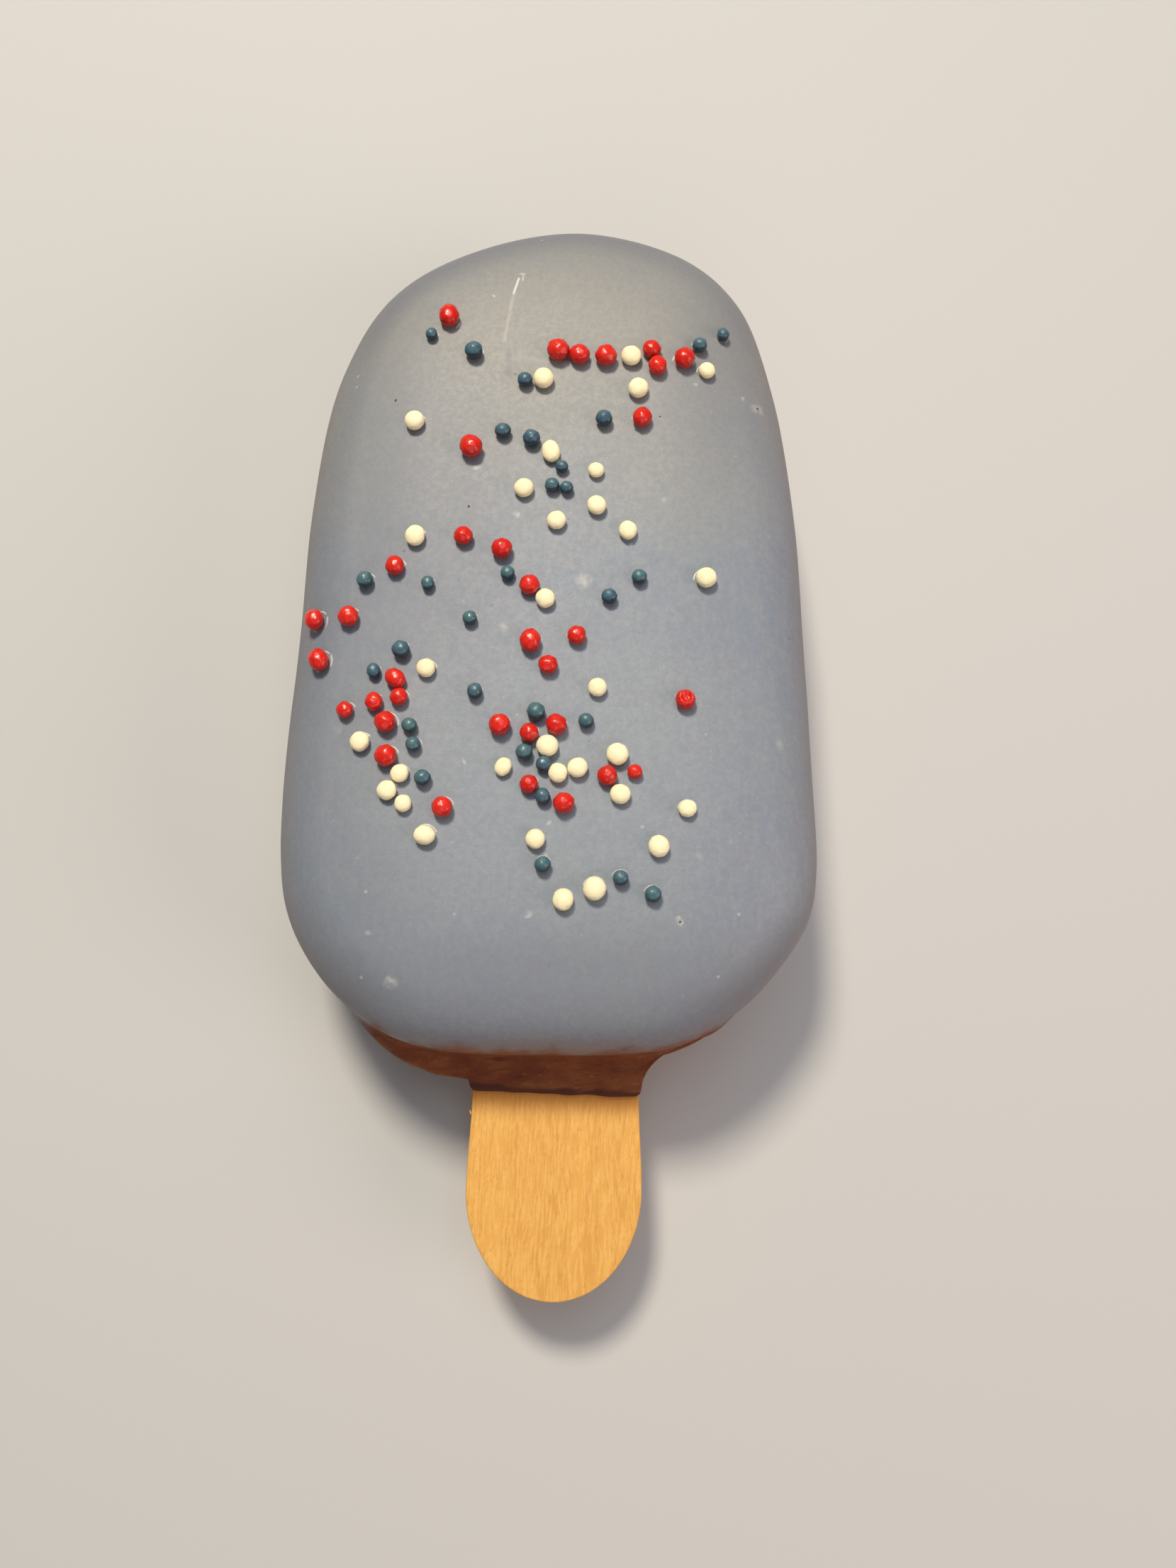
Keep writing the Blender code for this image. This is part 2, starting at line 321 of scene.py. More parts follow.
def makeCoating():
    rings, backPole, crownPole = coatingRings()
    points = np.vstack([backPole[None, :], *rings, crownPole[None, :]])
    piece = meshPiece("candy_coating", points, closedShell(len(rings), len(rings[0])))
    mesh = piece.data
    normals = np.array([vertex.normal for vertex in mesh.vertices])
    lifted = ease((points[:, 2] - 1.2 * mm) / (3.0 * mm))
    collarEnd = fromCakeEnd(0.0, -0.6)[1]
    onCollar = ease((collarEnd - points[:, 1]) / (1.5 * mm)) * (np.abs(points[:, 2] - stickMiddle.z) < 3 * mm)
    broad, fine, onTheCollar = (depth * unevenness(points, size, seed) for depth, size, seed in (
        coating["broadWaves"], coating["fineWaves"], coating["collarWaves"]))
    waves = broad + fine + onTheCollar * onCollar
    points = points + normals * (lifted * waves)[:, None]
    mesh.vertices.foreach_set("co", points.ravel())
    mesh.update()
    return piece


# The wooden stick: die-cut, with barely softened edges
stick = {
    "shoulder": 9.0 * mm,
    "waistNarrower": 0.33 * mm,
    "endHeight": 10.2 * mm,
    "edge": 0.14 * mm,
    "edgeUneven": 0.03 * mm,
    "splinterBelowCollar": 1.9 * mm,
    "splinterLength": 0.55 * mm,
    "splinterThickness": 0.09 * mm,
}


def stickHalfWidth(y):
    # half-width at a distance from the nearer tip: a round end, then a slight waist
    fromTip = min(y - stickLow.y, stickHigh.y - y)
    widest = (stickHigh.x - stickLow.x) / 2
    if fromTip < stick["endHeight"]:
        return widest * math.sqrt(max(0.0, 1 - (1 - fromTip / stick["endHeight"]) ** 2))
    return widest - stick["waistNarrower"] * ease((fromTip - stick["endHeight"]) / stick["shoulder"])


def stickRows():
    # rows across the stick, closer together round its ends
    turn = np.linspace(0.0, math.pi / 2, 30)[1:]
    low = stickLow.y + stick["endHeight"] * (1 - np.cos(turn))
    high = stickHigh.y - stick["endHeight"] * (1 - np.cos(turn[::-1]))
    straight = np.linspace(low[-1], high[0], 120)[1:-1]
    return np.concatenate([low, straight, high])


def splinter():
    # a raised fibre on the stick's left edge, as a short tapered spindle
    length, thickness = stick["splinterLength"], stick["splinterThickness"]
    y = fromCakeEnd(0.0, -3.8)[1] - stick["splinterBelowCollar"]
    x = stickMiddle.x - stickHalfWidth(y) - 0.3 * thickness
    root = np.array((x, y, stickHigh.z - 1.6 * thickness))
    points, sides = [root - (0, length / 2, 0)], 8
    for share in (0.2, 0.45, 0.7, 0.9):
        girth = thickness * math.sin(math.pi * share) ** 0.7
        lean = -1.6 * thickness * share
        for side in range(sides):
            angle = math.tau * side / sides
            points.append(root + (lean + girth * math.cos(angle), (share - 0.5) * length,
                                  0.8 * girth * math.sin(angle)))
    points.append(root + (-1.9 * thickness, length / 2, 0))
    return points, [tuple(reversed(face)) for face in closedShell(4, sides)]


def makeStick():
    rows = stickRows()
    right = np.array([(stickMiddle.x + stickHalfWidth(y), y) for y in rows])
    left = np.column_stack([2 * stickMiddle.x - right[:, 0], right[:, 1]])
    tipLow = np.array([(stickMiddle.x, stickLow.y)])
    tipHigh = np.array([(stickMiddle.x, stickHigh.y)])
    loop = np.vstack([tipLow, right, tipHigh, left[::-1]])
    normal = outward(loop)
    flat = np.column_stack([loop, np.zeros(len(loop))])
    rough = stick["edgeUneven"] * (unevenness(flat, 3 * mm, 6) + 0.6 * unevenness(flat, 0.9 * mm, 7))
    loop = loop + normal * np.minimum(rough, 0.0)[:, None]
    edge = stick["edge"]
    levels = []
    for angle in (90, 55, 25, 0):
        inset = edge * (1 - math.cos(math.radians(angle)))
        levels.append((inset, stickLow.z + edge * (1 - math.sin(math.radians(angle)))))
    levels += [(inset, stickLow.z + stickHigh.z - height) for inset, height in reversed(levels)]
    count = len(loop)
    rings = [np.column_stack([loop - normal * inset, np.full(count, height)]) for inset, height in levels]
    points = list(np.vstack(rings))
    faces = wallFaces(len(rings), count, 0)
    across = 24
    for ringStart, top in ((0, False), ((len(rings) - 1) * count, True)):
        grid = [[ringStart] * (across + 1)]
        for row in range(1, len(rows) + 1):
            rightIndex, leftIndex = ringStart + row, ringStart + count - row
            inner = []
            for step in range(1, across):
                share = step / across
                points.append(points[leftIndex] * (1 - share) + points[rightIndex] * share)
                inner.append(len(points) - 1)
            grid.append([leftIndex, *inner, rightIndex])
        grid.append([ringStart + len(rows) + 1] * (across + 1))
        for lower, upper in zip(grid, grid[1:]):
            for step in range(across):
                face = dict.fromkeys((lower[step], lower[step + 1], upper[step + 1], upper[step]))
                faces.append(tuple(face) if top else tuple(reversed(face)))
    raised, raisedFaces = splinter()
    faces += [tuple(index + len(points) for index in face) for face in raisedFaces]
    return meshPiece("wood_stick", points + raised, faces)


# The sugar pearls: x and y in millimetres on the face, width across, then for uneven ones how tall
# they are for their width and how far they lean to the left in degrees
redPearls = [
    (-10.7, 39.8, 2.05, 1.2, 8), (0.2, 35.9, 2.2), (2.3, 35.5, 2.0), (4.9, 35.4, 2.15), (9.4, 36.3, 1.8),
    (10.0, 34.5, 1.85, 1.1, 0), (12.6, 35.4, 2.05, 1.05, -20), (8.5, 28.8, 1.9, 1.1, -20),
    (-8.0, 25.4, 2.25), (-8.4, 16.2, 1.88), (-4.7, 14.9, 2.05), (-14.8, 13.3, 1.84, 1.06, 15),
    (-2.0, 11.3, 1.98), (-19.0, 8.4, 1.98, 1.06, 45), (-22.3, 8.5, 2.0, 1.06, 45), (2.5, 6.4, 1.82),
    (-1.8, 5.8, 2.0, 1.12, 0), (-0.1, 3.5, 1.82), (-21.6, 4.3, 2.0, 1.2, 35), (-14.2, 2.1, 1.78, 1.22, 50),
    (-13.8, 0.3, 1.72), (-16.1, -0.1, 1.7, 1.08, 10), (-18.8, -0.8, 1.66), (-14.9, -2.1, 2.05),
    (-14.7, -5.3, 2.1), (-9.4, -10.0, 1.98), (12.6, 0.4, 1.88), (-4.4, -2.3, 2.1), (0.8, -2.2, 1.95),
    (-1.7, -3.0, 1.84), (5.5, -6.9, 1.86), (8.0, -6.5, 1.42), (-1.6, -7.8, 1.76), (1.6, -9.5, 1.96),
]
creamPearls = [
    (-1.2, 32.9, 2.05), (7.4, 35.5, 2.05), (14.8, 34.4, 1.7), (8.1, 32.0, 2.0), (-13.6, 28.3, 1.98),
    (-0.3, 25.1, 1.8, 1.32, 12), (-2.8, 21.2, 1.9), (0.4, 17.9, 1.84), (-13.0, 16.3, 1.95, 1.08, 0),
    (4.1, 23.2, 1.6), (4.2, 19.5, 1.88), (7.2, 17.0, 1.76, 1.1, 0), (-0.5, 10.0, 1.85), (14.6, 12.5, 2.05),
    (-11.4, 3.1, 1.84), (-17.2, -3.9, 1.9), (-13.4, -6.9, 1.72), (-14.5, -8.5, 1.86), (-13.0, -9.7, 1.65),
    (-10.9, -12.6, 2.05, 0.88, 0), (4.5, 1.4, 1.78), (0.0, -4.2, 2.06), (-4.0, -6.2, 1.55, 1.2, -30),
    (1.0, -6.7, 1.8), (2.8, -6.2, 1.87), (6.4, -4.9, 2.08), (6.7, -8.6, 1.88), (12.8, -9.8, 1.66),
    (-0.9, -12.8, 1.8), (10.2, -13.3, 1.96, 1.06, 0), (4.5, -17.2, 2.12), (1.7, -18.2, 1.92, 1.06, -10),
]
tealPearls = [
    (-12.4, 37.9, 1.28), (-8.1, 35.8, 1.8), (-3.0, 32.7, 1.55), (14.1, 37.1, 1.5),
    (16.5, 38.8, 1.28, 1.12, 0),
    (-5.0, 27.2, 1.54), (-2.2, 26.4, 1.72), (0.8, 23.5, 1.28), (-0.1, 21.5, 1.48), (1.3, 21.3, 1.34),
    (4.8, 28.6, 1.67), (-17.6, 12.0, 1.68), (-11.6, 11.5, 1.3, 1.14, 0), (-4.1, 12.5, 1.4), (8.3, 12.3, 1.49),
    (5.5, 10.3, 1.52), (-7.5, 8.0, 1.43), (-13.8, 4.9, 1.7), (-16.3, 2.9, 1.33, 1.2, 15), (-12.7, -2.4, 1.46),
    (-12.3, -4.2, 1.46), (-11.3, -7.3, 1.56), (-6.8, 0.9, 1.46, 1.1, 0), (-1.1, -1.0, 1.7), (3.5, -1.8, 1.46),
    (-2.1, -4.8, 1.58), (-0.3, -5.9, 1.5), (-0.3, -8.9, 1.42, 1.12, 10), (-0.2, -15.1, 1.56),
    (6.8, -16.2, 1.5), (9.7, -17.6, 1.56),
]
# burst bubbles and pinholes in the coating: x, y, width across and width of the dark middle
bubbleMarks = [
    (10.3, 29.3, 0.5, 0.14), (12.2, -20.0, 0.62, 0.2), (-15.8, 31.0, 0.3, 0.24),
    (-8.1, 19.5, 0.26, 0.2), (20.2, 31.6, 0.3, 0.24),
]

pearls = {
    "trim": 0.05,                 # taken off each width
    "standsProud": 0.92,          # height of a pearl's middle above the face, for a half height of 1
    "tallness": (0.96, 1.05),     # how tall the even ones are for their width
    "thickness": (0.95, 1.0),
    "fineness": 4,
    "lumpSize": 0.55 * mm,
    "pitDepth": 0.04,
    "pitSize": 0.22 * mm,
    "facetLevel": 0.88,
    "facetSoftness": 0.12,
    "craterDepth": 0.5,
    "craterWidth": 0.75,
    "craterSpot": (0.12, 0.16, 0.95),
    "burst": (12.6, 0.4),         # the one red pearl that has a crater
    # roughly the key lamp's direction, for the painted light and shade on the pearls
    "towardLamp": (-0.12, 0.42, 0.9),
}
# the raised lip of coating round each pearl, for a radius of 1 where no millimetres are given
lips = {
    "reach": 1.04,
    "halfWidth": 0.11,
    "height": 0.11 * mm,
    "unevenHeight": (0.65, 1.15),
    "turned": (-0.3, 0.45),
    "arc": (0.3, 0.98),           # the lip rises where the sine of its angle is past these, from none to full
    "crestPower": 1.5,
    "ringSteps": 41,
    "sectionSteps": 17,
    "waviness": 0.05 * mm,
    "waveSize": 0.6 * mm,
    "markHeight": 0.05 * mm,
}


def touchDown(surface, x, y):
    # where a point of the plan lies on the face, the face's normal there, and the turn that leans Z to it
    hit, normal, _, _ = surface.ray_cast(Vector((x, y, 1.0)), Vector((0.0, 0.0, -1.0)))
    return hit, normal, Vector((0.0, 0.0, 1.0)).rotation_difference(normal)


def turned(tilt, angle):
    return Vector((tilt @ Euler((0.0, 0.0, angle)).to_quaternion()).to_euler())


def aimless(dice, *ranges):
    return Vector([dice.uniform(*limits) for limits in ranges]).normalized()


def layPearls(surface, rows, seed, facets, roundness):
    # each pearl as a dictionary of the attributes that the node trees read
    dice = random.Random(seed)
    laid = []
    for x, y, across, *shape in rows:
        tall, lean = shape if shape else (dice.uniform(*pearls["tallness"]), dice.uniform(0, 180))
        hit, normal, tilt = touchDown(surface, x * mm, y * mm)
        radius = (across - pearls["trim"]) * mm / 2
        facet = aimless(dice, (-0.8, 0.8), (-1.2, -0.2), (0.3, 0.9))
        other = aimless(dice, (-1, 1), (-1, 1), (0.0, 1.0))
        laid.append({
            "middle": hit + normal * radius * roundness * pearls["standsProud"],
            "foot": hit,
            "radius": radius,
            "size": Vector((radius, radius * tall, radius * roundness * dice.uniform(*pearls["thickness"]))),
            "turn": turned(tilt, math.radians(lean)),
            "tilt": turned(tilt, dice.uniform(*lips["turned"])),
            "facet": facet * facets,
            "otherFacet": other * facets,
            "crater": pearls["craterDepth"] if (x, y) == pearls["burst"] else 0.0,
            "lip": lips["height"] * dice.uniform(*lips["unevenHeight"]),
            "tone": dice.random(),
        })
    return laid


def layMarks(surface):
    dice = random.Random(12)
    laid = []
    for x, y, across, _ in bubbleMarks:
        hit, _, tilt = touchDown(surface, x * mm, y * mm)
        laid.append({"foot": hit, "radius": across * mm / 2.2,
                     "tilt": turned(tilt, dice.uniform(0, 6.28)), "lip": lips["markHeight"], "tone": 0.5})
    return laid


def seedMesh(name, laid, place, kept):
    mesh = bpy.data.meshes.new(name)
    mesh.from_pydata([tuple(item[place]) for item in laid], [], [])
    for label in kept:
        if isinstance(laid[0][label], Vector):
            layer = mesh.attributes.new(label, "FLOAT_VECTOR", "POINT")
            layer.data.foreach_set("vector", [value for item in laid for value in item[label]])
        else:
            layer = mesh.attributes.new(label, "FLOAT", "POINT")
            layer.data.foreach_set("value", [item[label] for item in laid])
    return mesh


# ways to add nodes, shared by the node trees and the materials
def addNode(tree, kind, inputs=None, **settings):
    node = tree.nodes.new(kind)
    node.location = (180 * (len(tree.nodes) % 24), -240 * (len(tree.nodes) // 24))
    for name, value in settings.items():
        setattr(node, name, value)
    for name, value in (inputs or {}).items():
        if isinstance(value, bpy.types.NodeSocket):
            tree.links.new(value, node.inputs[name])
        else:
            node.inputs[name].default_value = value
    return node


def calc(tree, operation, *values):
    kind = "ShaderNodeMath"
    return addNode(tree, kind, dict(enumerate(values)), operation=operation).outputs[0]


def times(tree, first, second):
    return calc(tree, "MULTIPLY", first, second)


def larger(tree, first, second):
    return calc(tree, "MAXIMUM", first, second)


def vectorCalc(tree, operation, *values, scale=None):
    inputs = dict(enumerate(values))
    if scale is not None:
        inputs["Scale"] = scale
    node = addNode(tree, "ShaderNodeVectorMath", inputs, operation=operation)
    return node.outputs["Value" if operation in ("LENGTH", "DISTANCE", "DOT_PRODUCT") else "Vector"]


def spanOf(tree, value, low, high, toLow=0.0, toHigh=1.0):
    # a soft step from toLow where the value is at low to toHigh where it is at high
    node = addNode(tree, "ShaderNodeMapRange", {
        "Value": value, "From Min": low, "From Max": high, "To Min": toLow, "To Max": toHigh},
        interpolation_type="SMOOTHSTEP")
    return node.outputs[0]


def noiseOf(tree, place, perMetre, detail=2.0, roughness=0.5, output=0):
    return addNode(tree, "ShaderNodeTexNoise", {
        "Vector": place, "Scale": perMetre, "Detail": detail, "Roughness": roughness}).outputs[output]


def combined(tree, *parts):
    return addNode(tree, "ShaderNodeCombineXYZ", dict(enumerate(parts))).outputs[0]


def growthTree(name, sockets):
    # an empty geometry tree with named inputs; returns the tree, its input node's sockets and its output node
    tree = bpy.data.node_groups.new(name, "GeometryNodeTree")
    tree.interface.new_socket("Geometry", in_out="OUTPUT", socket_type="NodeSocketGeometry")
    tree.interface.new_socket("Geometry", in_out="INPUT", socket_type="NodeSocketGeometry")
    for label, kind in sockets.items():
        tree.interface.new_socket(label, in_out="INPUT", socket_type="NodeSocket" + kind)
    return tree, addNode(tree, "NodeGroupInput").outputs, addNode(tree, "NodeGroupOutput")


def attribute(tree, label, kind="FLOAT"):
    return addNode(tree, "GeometryNodeInputNamedAttribute", {"Name": label}, data_type=kind).outputs[0]


def setOnPoints(tree, points, shape, turnLabel, size):
    # the shape on every point, turned and scaled by the point's own values, as real geometry
    turn = addNode(tree, "FunctionNodeEulerToRotation", {0: attribute(tree, turnLabel, "FLOAT_VECTOR")})
    placed = addNode(tree, "GeometryNodeInstanceOnPoints", {
        "Points": points, "Instance": shape, "Rotation": turn.outputs[0], "Scale": size})
    return addNode(tree, "GeometryNodeRealizeInstances", {"Geometry": placed.outputs[0]}).outputs[0]


def finishTree(tree, geometry, material, output):
    smooth = addNode(tree, "GeometryNodeSetShadeSmooth", {"Geometry": geometry})
    dressed = addNode(tree, "GeometryNodeSetMaterial",
                      {"Geometry": smooth.outputs["Geometry"], "Material": material})
    tree.links.new(dressed.outputs["Geometry"], output.inputs["Geometry"])


def buildPearlTree():
    tree, given, output = growthTree("sugarPearls", {
        "Fineness": "Int", "Lump Depth": "Float", "Lump Size": "Float", "Pit Depth": "Float",
        "Pit Size": "Float", "Facet Level": "Float", "Facet Softness": "Float", "Crater Width": "Float",
        "Toward Lamp": "Vector", "Material": "Material"})
    ball = addNode(tree, "GeometryNodeMeshIcoSphere", {"Radius": 1.0, "Subdivisions": given["Fineness"]})
    size = attribute(tree, "size", "FLOAT_VECTOR")
    real = setOnPoints(tree, given["Geometry"], ball.outputs["Mesh"], "turn", size)
    radius = attribute(tree, "radius")
    position = addNode(tree, "GeometryNodeInputPosition").outputs[0]
    fromMiddle = vectorCalc(tree, "SUBTRACT", position, attribute(tree, "middle", "FLOAT_VECTOR"))
    local = vectorCalc(tree, "SCALE", fromMiddle, scale=calc(tree, "DIVIDE", 1.0, radius))
    lump = None
    for label in ("Lump", "Pit"):
        bumps = noiseOf(tree, position, calc(tree, "DIVIDE", 1.0, given[label + " Size"]), 1.0)
        bumps = times(tree, calc(tree, "SUBTRACT", bumps, 0.5), given[label + " Depth"])
        lump = bumps if lump is None else calc(tree, "ADD", lump, bumps)
    lumpMove = vectorCalc(tree, "SCALE", local, scale=times(tree, lump, radius))
    # two flattened sides
    facetMove = None
    for label in ("facet", "otherFacet"):
        facet = attribute(tree, label, "FLOAT_VECTOR")
        over = calc(tree, "SUBTRACT", vectorCalc(tree, "DOT_PRODUCT", local, facet), given["Facet Level"])
        over = calc(tree, "SMOOTH_MAX", over, 0.0, given["Facet Softness"])
        cut = times(tree, over, times(tree, radius, -1.0))
        push = vectorCalc(tree, "SCALE", facet, scale=cut)
        facetMove = push if facetMove is None else vectorCalc(tree, "ADD", facetMove, push)
    # the crater in a burst pearl's top
    spot = pearls["craterSpot"]
    near = calc(tree, "DIVIDE", vectorCalc(tree, "DISTANCE", local, spot), given["Crater Width"])
    crater = times(tree, times(tree, spanOf(tree, near, 1.0, 0.45), attribute(tree, "crater")), radius)
    craterMove = vectorCalc(tree, "SCALE", spot, scale=times(tree, crater, -1.0))
    move = vectorCalc(tree, "ADD", vectorCalc(tree, "ADD", lumpMove, facetMove), craterMove)
    shaped = addNode(tree, "GeometryNodeSetPosition", {"Geometry": real, "Offset": move})
    # how far each spot faces up and away from the collar, towards the key lamp, from -1 to 1, for the painted
    # light and shade on the pearls
    towardLamp = vectorCalc(tree, "DOT_PRODUCT", local, given["Toward Lamp"])
    marked = addNode(tree, "GeometryNodeStoreNamedAttribute", {
        "Geometry": shaped.outputs["Geometry"], "Name": "towardLamp", "Value": towardLamp}, data_type="FLOAT")
    finishTree(tree, marked.outputs["Geometry"], given["Material"], output)
    return tree


def buildLipTree():
    # a low ring of coating, drawn from a grid whose one way runs round and whose other is the section
    tree, given, output = growthTree("coatingLips", {
        "Ring Steps": "Int", "Section Steps": "Int", "Reach": "Float", "Half Width": "Float",
        "Waviness": "Float", "Wave Size": "Float", "Material": "Material"})
    grid = addNode(tree, "GeometryNodeMeshGrid", {
        "Size X": 1.0, "Size Y": 1.0,
        "Vertices X": given["Ring Steps"], "Vertices Y": given["Section Steps"]})
    spot = addNode(tree, "ShaderNodeSeparateXYZ",
                   {0: addNode(tree, "GeometryNodeInputPosition").outputs[0]}).outputs
    around = times(tree, spot[0], math.tau)
    section = times(tree, spot[1], math.tau)
    reach = calc(tree, "MULTIPLY_ADD", calc(tree, "COSINE", section), given["Half Width"], given["Reach"])
    rise = calc(tree, "SINE", section)
    crest = calc(tree, "POWER", larger(tree, rise, 0.0), lips["crestPower"])
    arc = spanOf(tree, calc(tree, "SINE", around), *lips["arc"])
    height = calc(tree, "ADD", times(tree, crest, arc), calc(tree, "MINIMUM", rise, 0.0))
    place = combined(tree, times(tree, reach, calc(tree, "COSINE", around)),
                     times(tree, reach, calc(tree, "SINE", around)), height)
    ring = addNode(tree, "GeometryNodeSetPosition", {"Geometry": grid.outputs["Mesh"], "Position": place})
    closed = addNode(tree, "GeometryNodeMergeByDistance", {"Geometry": ring.outputs[0], "Distance": 0.0005})
    radius = attribute(tree, "radius")
    size = combined(tree, radius, radius, attribute(tree, "lip"))
    real = setOnPoints(tree, given["Geometry"], closed.outputs[0], "tilt", size)
    position = addNode(tree, "GeometryNodeInputPosition").outputs[0]
    waves = noiseOf(tree, position, calc(tree, "DIVIDE", 1.0, given["Wave Size"]), 0.0)
    sink = times(tree, times(tree, waves, given["Waviness"]), -1.0)
    shaped = addNode(tree, "GeometryNodeSetPosition",
                     {"Geometry": real, "Offset": combined(tree, 0.0, 0.0, sink)})
    finishTree(tree, shaped.outputs["Geometry"], given["Material"], output)
    return tree


def growPiece(name, seeds, tree, values):
    # runs a tree on its seed points and keeps the result as a plain mesh
    piece = bpy.data.objects.new(name, seeds)
    bpy.context.scene.collection.objects.link(piece)
    modifier = piece.modifiers.new(tree.name, "NODES")
    modifier.node_group = tree
    for socket in tree.interface.items_tree:
        if socket.in_out == "INPUT" and socket.name in values:
            modifier[socket.identifier] = values[socket.name]
    bpy.context.view_layer.update()
    grown = piece.evaluated_get(bpy.context.evaluated_depsgraph_get())
    mesh = bpy.data.meshes.new_from_object(grown)
    mesh.materials.clear()
    mesh.materials.append(values["Material"])
    mesh.polygons.foreach_set("material_index", [0] * len(mesh.polygons))
    piece.modifiers.clear()
    piece.data = mesh
    mesh.name = name
    return piece


def newMaterial(name):
    material = bpy.data.materials.new(name)
    material.use_nodes = True
    return material, material.node_tree, material.node_tree.nodes["Principled BSDF"]


def objectPlace(tree):
    return addNode(tree, "ShaderNodeTexCoord").outputs["Object"]


def mixColours(tree, share, first, second):
    node = addNode(tree, "ShaderNodeMix", {0: share, 6: first, 7: second}, data_type="RGBA")
    return node.outputs[2]


def bumped(tree, height, depth, normal):
    return addNode(tree, "ShaderNodeBump", {"Height": height, "Distance": depth, "Normal": normal}).outputs[0]


def dress(tree, shader, colour, roughness, normal):
    for label, value in (("Base Color", colour), ("Roughness", roughness), ("Normal", normal)):
        tree.links.new(value, shader.inputs[label])


def tinted(tree, colour, mask, tint, strength=1.0):
    # the colour with a tint laid over it where the mask is, as strongly as strength says
    return mixColours(tree, mask if strength == 1.0 else times(tree, mask, strength), colour, tint)


def patchesOf(tree, place, perMetre, low, high, detail=2.0, roughness=0.5, most=1.0):
    # soft-edged patches where a noise is past low, and strongest where it is past high
    return spanOf(tree, noiseOf(tree, place, perMetre, detail, roughness), low, high, 0.0, most)


def zoneOf(tree, split, bands):
    # bands multiplied together: axis, from and to in millimetres, and the strength at each
    mask = None
    for axis, start, end, weakest, strongest in bands:
        band = spanOf(tree, split["xyz".index(axis)], start * mm, end * mm, weakest, strongest)
        mask = band if mask is None else times(tree, mask, band)
    return mask


def wobbleOf(tree, place, perMetre, detail, reach):
    colour = noiseOf(tree, place, perMetre, detail, output="Color")
    return vectorCalc(tree, "SCALE", vectorCalc(tree, "SUBTRACT", colour, (0.5, 0.5, 0.5)), scale=reach)


def buildGrainGroup():
    # fine sugar or wax grain: a mask from 0 to 1 for colour and roughness, and a normal
    group = bpy.data.node_groups.new("fineGrain", "ShaderNodeTree")
    for label, kind, value in (("Place", "Vector", None), ("Size", "Float", 0.3 * mm),
                               ("Depth", "Float", 0.01 * mm), ("Normal", "Vector", None)):
        socket = group.interface.new_socket(label, in_out="INPUT", socket_type="NodeSocket" + kind)
        if value is not None:
            socket.default_value = value
    group.interface.new_socket("Mask", in_out="OUTPUT", socket_type="NodeSocketFloat")
    group.interface.new_socket("Normal", in_out="OUTPUT", socket_type="NodeSocketVector")
    given, output = addNode(group, "NodeGroupInput").outputs, addNode(group, "NodeGroupOutput")
    often = calc(group, "DIVIDE", 1.0, given["Size"])
    fine = noiseOf(group, given["Place"], often, 2.0, 0.6)
    coarse = noiseOf(group, given["Place"], times(group, often, 0.31), 1.0)
    both = calc(group, "MULTIPLY_ADD", coarse, 0.45, times(group, fine, 0.55))
    grain = spanOf(group, both, 0.34, 0.66)
    bump = addNode(group, "ShaderNodeBump",
                   {"Height": grain, "Distance": given["Depth"], "Normal": given["Normal"]})
    group.links.new(grain, output.inputs["Mask"])
    group.links.new(bump.outputs[0], output.inputs["Normal"])
    return group


def useGrain(tree, group, place, size, depth):
    node = addNode(tree, "ShaderNodeGroup", node_tree=group)
    tree.links.new(place, node.inputs["Place"])
    node.inputs["Size"].default_value = size
    node.inputs["Depth"].default_value = depth
    return node.outputs["Mask"], node.outputs["Normal"]


# pale bloom and grease spots on the coating: x, y and radius in millimetres, and how strong
bloomSpots = [
    (3.1, 12.0, 1.1, 0.5), (3.6, 12.1, 0.6, 0.4), (-3.5, 18.8, 0.45, 0.6), (-7.4, 23.6, 0.45, 0.5),
    (13.7, 33.1, 0.35, 0.5), (18.6, 32.3, 0.35, 0.45), (10.7, 20.5, 0.45, 0.3), (-4.4, 7.3, 0.7, 0.35),
    (-13.7, -25.6, 0.9, 0.5), (-15.7, -21.3, 0.35, 0.5), (-1.5, -19.5, 0.6, 0.5), (0.4, -11.3, 0.4, 0.45),
    (-7.7, -5.6, 0.3, 0.45), (21.7, -3.2, 0.6, 0.25), (-6.4, 42.7, 0.25, 0.9), (8.7, -11.7, 0.25, 0.4),
    (12.2, -20.0, 0.6, 0.35), (-3.6, 45.3, 0.3, 0.6), (14.0, -14.1, 0.5, 0.2), (-19.6, -2.5, 0.7, 0.2),
    (20.2, 31.5, 0.9, 0.35),
]
